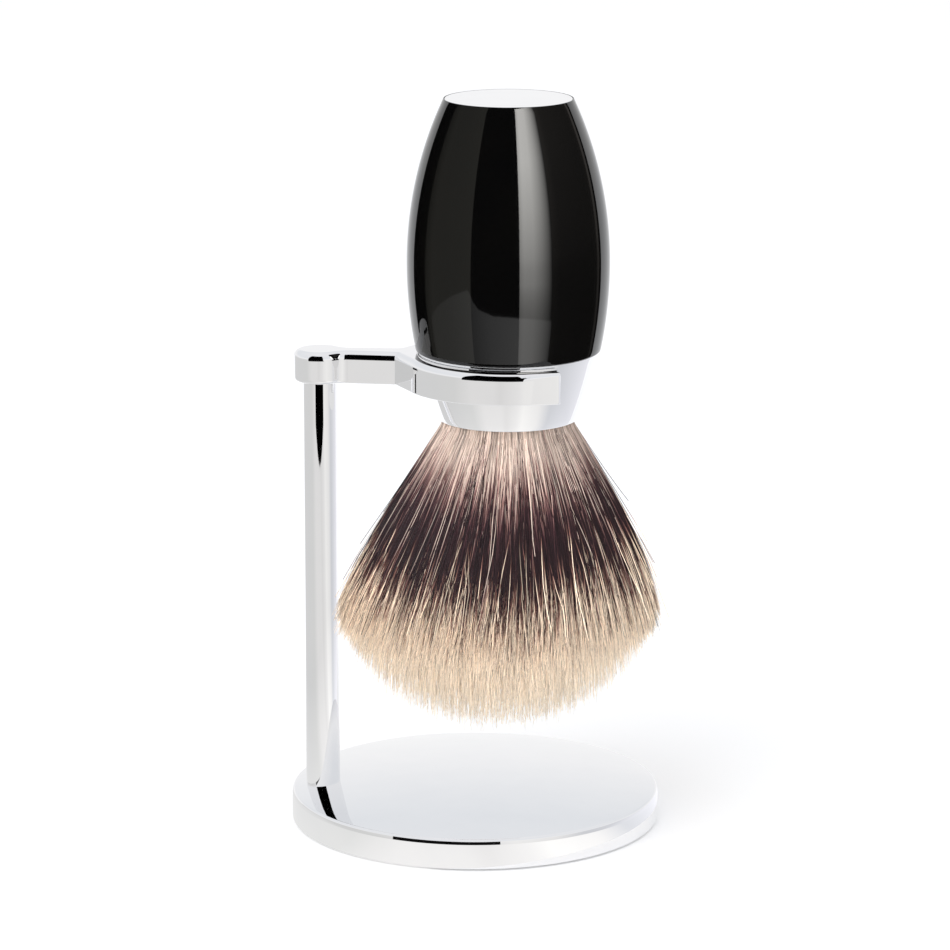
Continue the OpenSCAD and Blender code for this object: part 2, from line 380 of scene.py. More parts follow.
def makePost():
    edge = postShape["edge"]
    radius = width("post") / 2
    low, high = lowest("post"), highest("post")
    profile = softened([(0, low, 0), (radius, low, edge), (radius, high, edge), (0, high, 0)], 3)
    turned("stand_post", profile, postAxis, chrome, "stand", "chrome", ["post"], postShape["segments"])


armShape = dict(bossRadius=4.6, bossRounding=0.8, neckWidth=4.8, neckEndWidth=5.6, neckLength=13.5,
                fillet=3, ringRadius=18.33, prongFrom=76, prongLength=6.3, seatTop=15.66,
                seatBottom=14.25, edge=0.22, cornerRounding=0.3, topRounding=1.3, endRounding=0.5,
                prongCorner=0.8, innerCorner=0.4, support=0.12)


def arcPoints(centre, radius, fromDegrees, toDegrees, count):
    angles = np.radians(np.linspace(fromDegrees, toDegrees, count))
    return [(centre[0] + radius * math.cos(a), centre[1] + radius * math.sin(a), 0) for a in angles]


# One side of the arm's outline, from the back of the boss to the middle of the seat
def armSide(seatRadius):
    shape = armShape
    fork = (reach, 0)
    filletY = shape["neckWidth"] / 2 + shape["fillet"]
    filletX = math.sqrt((shape["bossRadius"] + shape["fillet"]) ** 2 - filletY ** 2)
    filletAngle = math.degrees(math.atan2(filletY, filletX))
    boss = arcPoints((0, 0), shape["bossRadius"], 180, filletAngle, 40)
    fillet = arcPoints((filletX, filletY), shape["fillet"], filletAngle + 180, 270, 9)[1:]
    corner = Vector((shape["neckLength"] - reach, shape["neckEndWidth"] / 2))
    touch = math.degrees(math.atan2(corner.y, corner.x)
                         - math.acos(shape["ringRadius"] / corner.length))
    neck = [(shape["neckLength"], corner.y, shape["cornerRounding"])]
    ring = arcPoints(fork, shape["ringRadius"], touch, shape["prongFrom"], 48)
    lean = math.radians(90 - shape["prongFrom"])
    outer = Vector(ring[-1][:2]) + shape["prongLength"] * Vector((math.cos(lean), -math.sin(lean)))
    across = Vector((math.sin(lean), math.cos(lean)))
    fromFork = outer - Vector(fork)
    along = fromFork.dot(across)
    cut = along - math.sqrt(along ** 2 - fromFork.length_squared + seatRadius ** 2)
    inner = outer - cut * across
    prong = [(outer.x, outer.y, shape["prongCorner"]), (inner.x, inner.y, shape["innerCorner"])]
    start = math.degrees(math.atan2(inner.y, inner.x - reach))
    # The first two points would fall inside the rounding of the prong's inner corner
    seat = arcPoints(fork, seatRadius, start, 180, 72)[2:]
    return boss, fillet + neck + ring + prong + seat


def armOutline(seatRadius):
    boss, rest = armSide(seatRadius)
    upper = boss + rest
    lower = [(x, -y, rounding) for x, y, rounding in upper[1:-1]][::-1]
    return np.array(softened(upper + lower, 3, True)), len(boss)


def makeArm():
    shape = armShape
    low, high = lowest("arm_fork"), highest("arm_fork")
    bottom, bossCount = armOutline(shape["seatBottom"])
    top = armOutline(shape["seatTop"])[0]
    total = len(bottom)
    onBoss = np.zeros(total, bool)
    onBoss[:bossCount] = True
    onBoss[total - bossCount + 1:] = True
    # The wide rounding fades out along the fillets beside the boss
    fade = np.where(onBoss, 1.0, 0.0)
    for k in range(6):
        share = 1 - (k + 1) / 7
        fade[bossCount + k] = share
        fade[total - bossCount - k] = share
    under = shape["edge"] + (shape["bossRounding"] - shape["edge"]) * fade
    before = np.roll(bottom, 1, 0)
    after = np.roll(bottom, -1, 0)
    tangent = after - before
    outward = np.stack([tangent[:, 1], -tangent[:, 0]], 1)
    outward /= np.linalg.norm(outward, axis=1, keepdims=True)
    area = np.sum(bottom[:, 0] * np.roll(bottom[:, 1], -1) - np.roll(bottom[:, 0], -1) * bottom[:, 1])
    outward *= 1 if area > 0 else -1
    # The upper edges are rounded wide outside, less at the prongs' ends and little along the seat
    fromFork = np.hypot(top[:, 0] - reach, top[:, 1])
    armSideEnd = armSide(shape["seatTop"])[1]
    prongEnd = max(armSideEnd, key=lambda point: point[0])
    fromEnd = np.hypot(top[:, 0] - prongEnd[0], np.abs(top[:, 1]) - prongEnd[1])
    over = np.minimum(shape["topRounding"], shape["endRounding"] + 0.3 * fromEnd)
    onRing = fromFork < (shape["seatTop"] + shape["ringRadius"]) / 2
    over = np.where(onRing & (top[:, 0] > shape["neckLength"]), shape["edge"], over)
    levels = []
    for turn in np.radians(np.linspace(0, 90, 7)):
        inset = under * (1 - math.sin(turn))
        levels.append((inset, low + under * (1 - math.cos(turn))))
    levels.append((np.zeros(total), low + under + shape["support"]))
    levels.append((np.zeros(total), high - over - shape["support"]))
    for turn in np.radians(np.linspace(90, 0, 11)):
        levels.append((over * (1 - math.sin(turn)), high - over * (1 - math.cos(turn))))
    points = []
    for inset, heights in levels:
        share = ((heights - low) / (high - low))[:, None]
        outline = bottom * (1 - share) + top * share - outward * inset[:, None]
        x = postAxis[0] + outline[:, 0] * math.cos(armAngle) - outline[:, 1] * math.sin(armAngle)
        y = postAxis[1] + outline[:, 0] * math.sin(armAngle) + outline[:, 1] * math.cos(armAngle)
        points += np.stack([x, y, heights], 1).tolist()
    faces = [list(range(total)), [(len(levels) - 1) * total + k for k in range(total)][::-1]]
    for level in range(len(levels) - 1):
        for k in range(total):
            n = (k + 1) % total
            a, b = level * total, (level + 1) * total
            faces.append([a + n, a + k, b + k, b + n])
    if area > 0:
        faces = [face[::-1] for face in faces]
    makePiece("arm_fork_polished", points, faces, chrome, "arm", ["arm_fork"])


makeBase()
makePost()
makeArm()
print("stand made")


# Brush
handleShape = dict(widest=17.55, upperArc=67.4, lowerArc=76, widestUp=15.2, lowerEdge=0.4,
                   upperEdge=0.06, innerEdge=0.15, boreRadius=2.7, spigotRadius=12.05, spigotRoom=0.1,
                   discRecess=11.05, discThickness=1.5, bossRadius=5.05, bossRoom=0.2, segments=224)
discShape = dict(holeRadius=2.5, holeTop=4, bossGap=0.05, bossEdge=0.2, underEdge=0.1, edge=0.12,
                 segments=192)
ferruleShape = dict(step=0.33, spigotRadius=12, mouthRadius=11.2, nutRoomRadius=7, webThickness=3,
                    rimRounding=0.3, seatRounding=0.12, spigotRounding=0.3, cupRoom=0.05)


def makeHandle():
    shape = handleShape
    low, high = lowest("handle"), highest("handle")
    widestAt = low + shape["widestUp"]
    spigotTop = highest("ferrule") + shape["spigotRoom"]
    discBottom = high - shape["discThickness"]
    bossBottom = lowest("end_disc") - shape["bossRoom"]
    lower = arcSide(shape["widest"], shape["lowerArc"], widestAt, low, widestAt)
    upper = arcSide(shape["widest"], shape["upperArc"], widestAt, widestAt, high)
    corners = [(*lower[0][:2], shape["lowerEdge"])] + lower[1:] + upper[1:-1]
    corners += [(*upper[-1][:2], shape["upperEdge"])]
    corners += [(shape["discRecess"], high, 0), (shape["discRecess"], discBottom, 0),
                (shape["bossRadius"], discBottom, 0), (shape["bossRadius"], bossBottom, 0),
                (shape["boreRadius"], bossBottom, 0), (shape["boreRadius"], spigotTop, 0),
                (shape["spigotRadius"], spigotTop, 0),
                (shape["spigotRadius"], low, shape["innerEdge"])]
    turned("brush_handle", softened(corners, 4, True), brushAxis, blackResin, "brush", "black_resin",
           ["handle"], shape["segments"], True)


def makeEndDisc():
    shape = discShape
    high, low = highest("end_disc"), lowest("end_disc")
    radius = width("end_disc") / 2
    bossRadius = handleShape["bossRadius"] - shape["bossGap"]
    holeTop = high - shape["holeTop"]
    under = high - handleShape["discThickness"]
    corners = [(0, holeTop, 0), (shape["holeRadius"], holeTop, 0), (shape["holeRadius"], low, 0),
               (bossRadius, low, shape["bossEdge"]), (bossRadius, under, 0),
               (radius, under, shape["underEdge"]), (radius, high, shape["edge"]), (0, high, 0)]
    turned("brush_end_disc", softened(corners, 4), brushAxis, chrome, "brush", "chrome", ["end_disc"],
           shape["segments"])


def makeFerrule():
    shape = ferruleShape
    mouth = lowest("ferrule")
    spigotTop = highest("ferrule")
    seat = lowest("handle")
    web = spigotTop - shape["webThickness"]
    cupTop = highest("knot_cup") + shape["cupRoom"]
    widest = handleShape["widest"] - shape["step"]
    side = arcSide(widest, handleShape["lowerArc"] - shape["step"], seat + handleShape["widestUp"],
                   mouth, seat)
    corners = [(*side[0][:2], shape["rimRounding"])] + side[1:-1]
    corners += [(*side[-1][:2], shape["seatRounding"]), (shape["spigotRadius"], seat, 0),
                (shape["spigotRadius"], spigotTop, shape["spigotRounding"]),
                (handleShape["boreRadius"], spigotTop, 0), (handleShape["boreRadius"], web, 0),
                (shape["nutRoomRadius"], web, 0), (shape["nutRoomRadius"], cupTop, 0),
                (shape["mouthRadius"], cupTop, 0), (shape["mouthRadius"], mouth, shape["rimRounding"])]
    turned("brush_ferrule", softened(corners, 4, True), brushAxis, chrome, "brush", "chrome",
           ["ferrule"], handleShape["segments"], True)


makeHandle()
makeEndDisc()
makeFerrule()
print("brush body made")


# Fibres
# The lock tone share is the part of a strand's tone that is painted shade shared by its lock
fan = dict(seed=11, strands=18000, pieces=6, steps=10, thickness=0.165, thicknessSpread=0.25,
           tipThickness=0.05, neckRadius=10.8, neckFlare=0.25, spread=0.6, fold=9.1e-5, rootUp=2.6,
           domeRadius=29, domePower=2.2, deepest=40, innerShare=0.97, shellShare=0.6, shellFrom=0.84,
           wander=2.3, splay=0.4, wave=0.75, waveTurns=(4, 13), ripple=0.25, drift=0.03,
           flare=0.4, flareFrom=0.92, flareLeast=0.3, flareMost=2.2, clumps=170, lockShadeShare=0.4,
           tipFuzz=1.5, tipSpread=0.7, shiftSpread=0.2, lean=2.0, leanOver=38, leanPower=1.6,
           postClear=0.55, bandTilt=0.06)
mouthZ = lowest("ferrule")
tipZ = lowest("fibre_bundle")
loft = mouthZ - tipZ


# Radius of the fan a given way below the ferrule's mouth
def fanRadius(down):
    below = np.maximum(down, 0)
    above = np.minimum(down, 0)
    return (fan["neckRadius"] + fan["spread"] * below - fan["fold"] * below ** 3
            + fan["neckFlare"] * above)


# How far down a strand at this share of the fan's radius reaches the dome of the tips
def tipDepth(share):
    depth = np.full_like(share, float(fan["deepest"]))
    for _ in range(30):
        out = np.minimum(share * fanRadius(depth), fan["domeRadius"] * 0.985)
        rise = (1 - (out / fan["domeRadius"]) ** fan["domePower"]) ** (1 / fan["domePower"])
        depth = 0.5 * depth + 0.5 * (loft - fan["domeRadius"] * (1 - rise))
    return depth


# How far the fan leans towards the post at a depth
def leanAt(down):
    share = np.clip(down / fan["leanOver"], 0, 1)
    return -fan["lean"] * share ** fan["leanPower"]


# One mesh of three-sided strands along the given paths
def addStrands(name, paths, radii, along, tone, shift, material, replaced=()):
    count, steps = paths.shape[:2]
    tangent = np.gradient(paths, axis=1)
    tangent /= np.linalg.norm(tangent, axis=2, keepdims=True)
    side = np.cross(tangent, (0.0, 1.0, 0.1))
    side /= np.linalg.norm(side, axis=2, keepdims=True)
    other = np.cross(tangent, side)
    turns = np.radians([0, 120, 240])
    ring = side[:, :, None] * np.cos(turns)[:, None] + other[:, :, None] * np.sin(turns)[:, None]
    points = paths[:, :, None] + radii[:, :, None, None] * ring
    faces = []
    for k in range(steps - 1):
        for j in range(3):
            a, b = 3 * k + j, 3 * k + (j + 1) % 3
            faces += [(a, a + 3, b), (b, a + 3, b + 3)]
    last = 3 * (steps - 1)
    faces += [(0, 1, 2), (last, last + 2, last + 1)]
    starts = np.arange(count)[:, None, None] * steps * 3
    triangles = (np.array(faces)[None] + starts).reshape(-1, 3)
    mesh = bpy.data.meshes.new(name)
    mesh.vertices.add(count * steps * 3)
    mesh.vertices.foreach_set("co", (points * mm).ravel())
    mesh.loops.add(triangles.size)
    mesh.loops.foreach_set("vertex_index", triangles.ravel())
    mesh.polygons.add(len(triangles))
    mesh.polygons.foreach_set("loop_start", np.arange(0, triangles.size, 3))
    mesh.update(calc_edges=True)
    mesh.shade_smooth()
    for attribute, values in (("along", along), ("tone", tone), ("shift", shift)):
        layer = mesh.attributes.new(attribute, "FLOAT", "POINT")
        layer.data.foreach_set("value", np.repeat(values.ravel(), 3).astype(np.float32))
    mesh.materials.append(material)
    piece = bpy.data.objects.new(name, mesh)
    scene.collection.objects.link(piece)
    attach(piece, "brush")
    if replaced:
        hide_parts(*replaced)
    piece.visible_glossy = False


# Strand paths for given shares of the fan's radius and directions around it. A strand drifts
# outwards or inwards on its way, so it comes out of the mass or goes into it
def strandPaths(random, share, around, wander, fuzz, drift, flare):
    count = len(share)
    t = np.linspace(0, 1, fan["steps"])[None]
    depth = tipDepth(share) - random.exponential(fuzz, count)
    depth = depth + random.normal(0, fan["tipSpread"], count)
    down = -fan["rootUp"] + (depth[:, None] + fan["rootUp"]) * t
    growth = np.clip(down / loft, 0, 1)
    sideMove = random.normal(0, wander, count)[:, None] * (growth + fan["splay"] * growth ** 3)
    wave = random.uniform(0, 2 * math.pi, (2, count, 1))
    turns = random.uniform(*fan["waveTurns"], (2, count, 1))
    waveSize = np.abs(random.normal(0, fan["wave"], (2, count, 1))) * growth ** 0.7
    sideMove = sideMove + waveSize[0] * np.sin(wave[0] + turns[0] * t)
    outMove = fan["ripple"] * waveSize[1] * np.sin(wave[1] + turns[1] * t)
    shares = share[:, None] + random.normal(0, drift, count)[:, None] * (t - 0.5) * growth
    full = fanRadius(down)
    radius = np.clip(shares, 0, 1) * full + outMove * np.minimum(1, share[:, None] * 1.3)
    reach = fan["flareLeast"] + np.minimum(random.exponential(1, count), fan["flareMost"])
    proud = flare * reach[:, None] * t ** 2.5
    radius = radius + np.where(share[:, None] > fan["flareFrom"], proud, 0)
    angle = around[:, None] + sideMove / np.maximum(radius, 4)
    x = brushAxis[0] + leanAt(down) + radius * np.cos(angle)
    y = brushAxis[1] + radius * np.sin(angle)
    # Strands beside the post stay clear of it
    postX, postY = postAxis
    clear = width("post") / 2 + fan["postClear"]
    gap = np.hypot(x - postX, y - postY)
    push = np.where(gap < clear, clear / np.maximum(gap, 0.1), 1)
    x = postX + (x - postX) * push
    y = postY + (y - postY) * push
    return np.stack([x, y, mouthZ - down], 2), down


# Where a point lies along the coloured bands, which climb a little towards the sides
def bandAt(down, x):
    return down / loft + fan["bandTilt"] * np.abs(x - brushAxis[0]) / fan["domeRadius"]


def makeStrands():
    random = np.random.default_rng(fan["seed"])
    count = fan["strands"]
    inShell = random.random(count) < fan["shellShare"]
    shell = fan["shellFrom"] + (1 - fan["shellFrom"]) * np.sqrt(random.random(count))
    share = np.where(inShell, shell, np.sqrt(random.random(count)) * fan["innerShare"])
    around = random.uniform(0, 2 * math.pi, count)
    paths, down = strandPaths(random, share, around, fan["wander"], fan["tipFuzz"], fan["drift"],
                              fan["flare"])
    t = np.linspace(0, 1, fan["steps"])[None]
    spread = fan["thicknessSpread"]
    thickness = fan["thickness"] * random.uniform(1 - spread, 1 + spread, count)[:, None] / 2
    radii = thickness * (1 - t ** 4) + fan["tipThickness"] / 2 * t ** 4
    along = bandAt(down, paths[:, :, 0])
    # Neighbouring strands share part of their tone, a painted shade and light per lock that stands in
    # for the shade between locks, so they read as small locks
    paintedLockShades = random.random(fan["clumps"] + 1)
    lockOf = (around / (2 * math.pi) * fan["clumps"]).astype(int)
    ownTone = random.random(count)
    toneAndLockShade = ownTone + fan["lockShadeShare"] * (paintedLockShades[lockOf] - ownTone)
    tone = np.repeat(toneAndLockShade[:, None], fan["steps"], 1)
    strandShift = np.clip(random.normal(0.5, fan["shiftSpread"], count), 0, 1)
    shift = np.repeat(strandShift[:, None], fan["steps"], 1)
    part = -(-count // fan["pieces"])
    for k in range(fan["pieces"]):
        chosen = slice(k * part, (k + 1) * part)
        addStrands(f"knot_fibres_{k + 1}", paths[chosen], radii[chosen], along[chosen], tone[chosen],
                   shift[chosen], fibre, ["fibre_bundle"] if k == 0 else ())


# Looser strands over the others
strayFan = dict(count=220, flare=0.8, wander=1.3, fuzz=4, thickness=0.72, earlyShare=0.75,
                early=(0.7, 1.3), late=(-0.4, 0.1))


def makeStrays():
    loose = strayFan
    random = np.random.default_rng(fan["seed"] + 1)
    count = loose["count"]
    share = np.full(count, 1.0)
    around = random.uniform(0, 2 * math.pi, count)
    paths, down = strandPaths(random, share, around, fan["wander"] * loose["wander"],
                              fan["tipFuzz"] * loose["fuzz"], 0.0, loose["flare"])
    radii = np.full(down.shape, fan["thickness"] * loose["thickness"] / 2)
    tone = np.repeat(random.random(count)[:, None], fan["steps"], 1)
    # Most of them turn pale early, and the others stay pale until late
    early = random.random(count) < loose["earlyShare"]
    shift = np.where(early, random.uniform(*loose["early"], count),
                     random.uniform(*loose["late"], count))
    addStrands("knot_stray_fibres", paths, radii, down / loft, tone,
               np.repeat(shift[:, None], fan["steps"], 1), fibre)


# Packed fibres behind the outer ones, as one fluted body. Flutes are (depth, count, phase), and
# the grain is the pace of the fibres' pattern around the body and along it
coreShape = dict(share=0.82, behindTips=8, segments=220, rows=40, domeRings=14,
                 flutes=[(0.18, 55, 0), (0.12, 23, 1)], flutesFrom=20, grainAround=34, grainAlong=0.12)


def makeCore():
    shape = coreShape
    segments = shape["segments"]
    share = shape["share"]
    topDown = -fan["rootUp"]
    shares = np.linspace(share, 0, shape["domeRings"])
    tipDown = tipDepth(shares) - shape["behindTips"]
    sideDown = np.linspace(topDown, tipDown[0], shape["rows"])
    downs = np.concatenate([sideDown, tipDown[1:]])
    radii = np.concatenate([share * fanRadius(sideDown), shares[1:] * fanRadius(tipDown[1:])])
    angles = np.arange(segments) * 2 * math.pi / segments
    flutes = sum(deep * np.sin(angles * many + phase) for deep, many, phase in shape["flutes"])
    acrossX = np.cos(angles) * shape["grainAround"]
    acrossY = np.sin(angles) * shape["grainAround"]
    points = [(*brushAxis, mouthZ - topDown)]
    along = [topDown / loft]
    grain = [(0.0, 0.0, 0.0)]
    for down, radius in zip(downs[:-1], radii[:-1]):
        swell = radius + flutes * np.clip(radius / shape["flutesFrom"], 0, 1)
        x = brushAxis[0] + leanAt(down) + swell * np.cos(angles)
        y = brushAxis[1] + swell * np.sin(angles)
        points += np.stack([x, y, np.full(segments, mouthZ - down)], 1).tolist()
        along += [down / loft] * segments
        grain += np.stack([acrossX, acrossY, np.full(segments, down * shape["grainAlong"])],
                          1).tolist()
    points.append((brushAxis[0] + float(leanAt(downs[-1])), brushAxis[1], mouthZ - downs[-1]))
    along.append(downs[-1] / loft)
    grain.append((0.0, 0.0, 0.0))
    faces = [[0, 1 + k, 1 + (k + 1) % segments] for k in range(segments)]
    ringCount = len(downs) - 1
    for ring in range(ringCount - 1):
        for k in range(segments):
            n = (k + 1) % segments
            a, b = 1 + ring * segments, 1 + (ring + 1) * segments
            faces.append([a + k, b + k, b + n, a + n])
    a = 1 + (ringCount - 1) * segments
    faces += [[a + k, len(points) - 1, a + (k + 1) % segments] for k in range(segments)]
    core = makePiece("knot_packed_fibres", points, faces, innerFibre, "brush", (), 60)
    for attribute, values in (("along", along), ("shift", [0.5] * len(along))):
        layer = core.data.attributes.new(attribute, "FLOAT", "POINT")
        layer.data.foreach_set("value", np.array(values, np.float32))
    core.visible_glossy = False
    layer = core.data.attributes.new("grain", "FLOAT_VECTOR", "POINT")
    layer.data.foreach_set("vector", np.array(grain, np.float32).ravel())


makeStrands()
makeStrays()
makeCore()
print("fibres made:", fan["strands"] + strayFan["count"])

# Finishes of the CAD pieces that show as they are or sit inside
nodeFinishes = {"base_pad": padRubber, "post_screw": plainSteel, "post_washer": plainSteel,
                "arm_stud": plainSteel, "tie_rod": plainSteel, "tie_nut": plainSteel,
                "tie_washer": plainSteel, "ferrule_seal": padRubber, "knot_cup": cupPlastic,
                "knot_resin": knotGlue, "knot_binding": cupPlastic}
for node, material in nodeFinishes.items():
    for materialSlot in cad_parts[node].material_slots:
        materialSlot.material = material
print("carried-over pieces finished:", len(nodeFinishes))


# Studio
studio = dict(floorSize=12, floorColour=(0.93, 0.93, 0.93, 1), floorTint=(0.925, 0.925, 0.925, 1),
              floorGlow=0.17, skyStrength=1.0,
              sky=[(0.0, (1, 1, 1)), (0.22, (0.95, 0.95, 0.96)), (0.47, (0.82, 0.84, 0.87)),
                   (1.0, (0.9, 0.9, 0.92))],
              keyPower=4, keySize=0.7, keyPlace=(-0.45, -0.65, 0.85), keyTarget=(0, 0, 0.06),
              fillPower=11, fillSize=0.6, fillPlace=(-0.1, -0.75, 0.05), fillTarget=(0, 0, 0.05))


def placeLight(name, place, target, size, power, receivers=None):
    data = bpy.data.lights.new(name, "AREA")
    data.energy = power
    data.size = size
    light = bpy.data.objects.new(name, data)
    scene.collection.objects.link(light)
    light.location = place
    light.rotation_euler = (Vector(target) - Vector(place)).to_track_quat("-Z", "Y").to_euler()
    light.visible_glossy = False
    if receivers:
        light.light_linking.receiver_collection = receivers
    return light


def makeFloor():
    half = studio["floorSize"] / 2
    mesh = bpy.data.meshes.new("floor")
    mesh.from_pydata([(-half, -half, 0), (half, -half, 0), (half, half, 0), (-half, half, 0)], [],
                     [(0, 1, 2, 3)])
    finish = Finish("paleFloor", {"Roughness": 0.9, "Specular IOR Level": 0.1,
                                  "Emission Color": (1, 1, 1, 1),
                                  "Emission Strength": studio["floorGlow"]})
    grain = finish.noise(40, 2)
    finish.set({"Base Color": finish.tint(grain, studio["floorColour"], studio["floorTint"])})
    mesh.materials.append(finish.material)
    floor = bpy.data.objects.new("floor", mesh)
    scene.collection.objects.link(floor)


def makeSky():
    world = bpy.data.worlds.new("studioSky")
    world.use_nodes = True
    scene.world = world
    sky = Graph(world.node_tree)
    place = sky.add("ShaderNodeTexCoord", output="Generated")
    height = sky.add("ShaderNodeSeparateXYZ", None, {0: place}, "Z")
    colour = sky.add("ShaderNodeValToRGB", {"stops": studio["sky"]}, {"Fac": height})
    background = world.node_tree.nodes["Background"]
    sky.feed(background.inputs["Color"], colour)
    background.inputs["Strength"].default_value = studio["skyStrength"]


# Reflection cards stand around the brush and show only in polished surfaces. Each is swept about a
# vertical axis between two bearings, in degrees from the camera's side and to the right. Its profile
# gives (distance, height) in metres at a bearing, and its glow a colour at a bearing and a point
def makeCard(name, bearings, profileAt, glowAt, material, receivers=None, axis=brushAxis, columns=49):
    points = []
    colours = []
    for bearing in np.linspace(*bearings, columns):
        turn = math.radians(bearing)
        for place, height in profileAt(bearing):
            points.append((axis[0] * mm + place * math.sin(turn),
                           axis[1] * mm - place * math.cos(turn), height))
            colours.append((*glowAt(bearing, place, height), 1))
    rows = len(points) // columns
    faces = [(k * rows + p, (k + 1) * rows + p, (k + 1) * rows + p + 1, k * rows + p + 1)
             for k in range(columns - 1) for p in range(rows - 1)]
    mesh = bpy.data.meshes.new(name)
    mesh.from_pydata(points, [], faces)
    layer = mesh.attributes.new("glow", "FLOAT_COLOR", "POINT")
    layer.data.foreach_set("color", np.array(colours, np.float32).ravel())
    mesh.materials.append(material)
    card = bpy.data.objects.new(name, mesh)
    scene.collection.objects.link(card)
    card.visible_camera = False
    card.visible_diffuse = False
    card.visible_shadow = False
    if receivers:
        card.light_linking.receiver_collection = receivers
    return card


def makeGlow(name, seeThrough):
    material = bpy.data.materials.new(name)
    material.use_nodes = True
    graph = Graph(material.node_tree)
    graph.tree.nodes.remove(graph.tree.nodes["Principled BSDF"])
    colour = graph.add("ShaderNodeAttribute", {"attribute_name": "glow"})
    surface = graph.add("ShaderNodeEmission", None, {"Color": colour})
    if seeThrough:
        clear = graph.add("ShaderNodeBsdfTransparent")
        surface = graph.add("ShaderNodeAddShader", None, {0: surface, 1: clear})
    graph.feed(graph.tree.nodes["Material Output"].inputs["Surface"], surface)
    return material


def between(value, stops):
    return tuple(np.interp(value, [place for place, _ in stops], channel)
                 for channel in zip(*[colour for _, colour in stops]))


def grey(level, tint=(1, 1, 1)):
    return tuple(level * part for part in tint)


# What the chrome sees in front: a grey floor, brighter to the right, then a dark gap
surround = dict(gapFrom=-51, gapTo=15, gapDistance=0.46, gapWall=1.5, gapLow=0.15, gapTop=2.6,
                gapGlow=0.004, wall=2.4, edge=128, leftMore=6, near=((0.03, 1.25), (0.12, 1.0)),
                floor=[(-128, (0.7, 0.7, 0.7)), (-60, (0.7, 0.7, 0.69)), (-40, (0.8, 0.79, 0.78)),
                       (-12, (0.8, 0.79, 0.78)), (-4, (0.76, 0.75, 0.74)), (14, (0.84, 0.83, 0.82)),
                       (24, (0.93, 0.92, 0.9)), (50, (0.86, 0.85, 0.84)), (70, (0.66, 0.67, 0.7)),
                       (128, (0.9, 0.9, 0.95))])


def floorProfile(bearing):
    return [(r, 0.0003) for r in (0.03, 0.06, 0.12, surround["gapDistance"])]


def wallProfile(bearing):
    wall = surround["wall"]
    return [(surround["gapDistance"], 0.0003), (wall, 0.0003), (wall, 0.5), (wall, 1.2), (wall, 3.0),
            (0.8, 4.0), (0.01, 4.2)]


def gapProfile(bearing):
    wall = surround["gapWall"]
    return [(surround["gapDistance"], 0.0004), (wall, 0.0004), (wall, surround["gapLow"])]


# The gap's upper part, which is dark for the arm and the post alone
def gapTopProfile(bearing):
    return [(surround["gapWall"], height)
            for height in np.linspace(surround["gapLow"], surround["gapTop"], 7)]


def floorGlow(bearing, place, height):
    near = np.interp(place, *zip(*surround["near"]))
    return grey(near, between(bearing, surround["floor"]))


def wallGlow(bearing, place, height):
    rise = height / math.hypot(place, height)
    floor = between(bearing, surround["floor"])
    sky = between(rise, studio["sky"])
    return floor if height < 0.01 else sky


def gapGlow(bearing, place, height):
    return grey(surround["gapGlow"])


# The floor in front of the post, which the post alone sees as part of the dark gap
postGap = dict(nearest=0.28, bend=0.047, middle=-4, half=26, far=0.47)


def postGapProfile(bearing):
    gap = postGap
    return [(gap["nearest"] + gap["bend"] * ((bearing - gap["middle"]) / gap["half"]) ** 2, 0.0005),
            (gap["far"], 0.0005)]


# A pale disc under the ferrule's mouth. The fibres are left out of mirror reflections, and without
# the disc the base would show the empty mouth
mouthDisc = dict(below=3.0, radius=12.2, glow=0.82)


def mouthProfile(bearing):
    height = (mouthZ - mouthDisc["below"]) * mm
    return [(0.00001, height), (mouthDisc["radius"] * mm, height)]


def mouthGlow(bearing, place, height):
    return grey(mouthDisc["glow"])


# What the handle sees: a bright strip light to the right, a dim wall to the left and the table
brightStrip = dict(bearings=(12, 50), wall=1.3,
                   rises=[(0.0, (1.4,)), (0.25, (2.0,)), (0.5, (4.2,)), (1.3, (5.5,)), (1.65, (8.5,)),
                          (2.0, (11,)), (2.6, (11.5,))],
                   across=[(12, (0.75,)), (17, (1.0,)), (28, (0.95,)), (38, (0.6,)), (46, (0.25,)),
                           (50, (0.0,))],
                   tint=(1, 0.985, 0.95))
dimWall = dict(bearings=(-108, -43),
               across=[(-108, (0.1,)), (-95, (0.24,)), (-70, (0.3,)), (-43, (0.36,))],
               tint=(1.0, 0.98, 0.86))
tableGlow = dict(bearings=(-100, 50),
                 levels=[(-100, (0.1,)), (-70, (0.2,)), (-44, (0.35,)), (-20, (0.65,)), (10, (0.85,)),
                         (50, (0.4,))],
                 farEdge=[(-100, (0.3,)), (-45, (0.44,)), (-42, (0.36,)), (-34, (0.305,)),
                          (-18, (0.275,)), (10, (0.265,)), (50, (0.26,))])
dimRight = dict(bearings=(50, 124),
                across=[(50, (0.35,)), (60, (0.2,)), (110, (0.1,)), (118, (0.12,)), (120, (0.5,)),
                        (122, (0.5,)), (124, (0.1,))],
                rises=[(0.3, (0.25,)), (1.3, (0.5,)), (2.0, (1.0,))], tint=(1, 0.93, 0.85))


def stripProfile(bearing):
    wall = brightStrip["wall"]
    onFloor = [(r, 0.0007) for r in (0.06, 0.12, 0.25, 0.5, 0.9, wall)]
    return onFloor + [(wall, height) for height in (0.35, 0.7, 1.5)]


def stripGlow(bearing, place, height):
    level = between(place + height, brightStrip["rises"])[0]
    return grey(level * between(bearing, brightStrip["across"])[0], brightStrip["tint"])


def dimGlow(bearing, place, height):
    return grey(between(bearing, dimWall["across"])[0], dimWall["tint"])


def tableProfile(bearing):
    far = between(bearing, tableGlow["farEdge"])[0]
    return [(0.05, 0.0006), (far - 0.02, 0.0006), (far, 0.0006)]


def tableColour(bearing, place, height):
    return grey(between(bearing, tableGlow["levels"])[0])


def rightGlow(bearing, place, height):
    rise = between(place + height, dimRight["rises"])[0]
    return grey(rise * between(bearing, dimRight["across"])[0], dimRight["tint"])


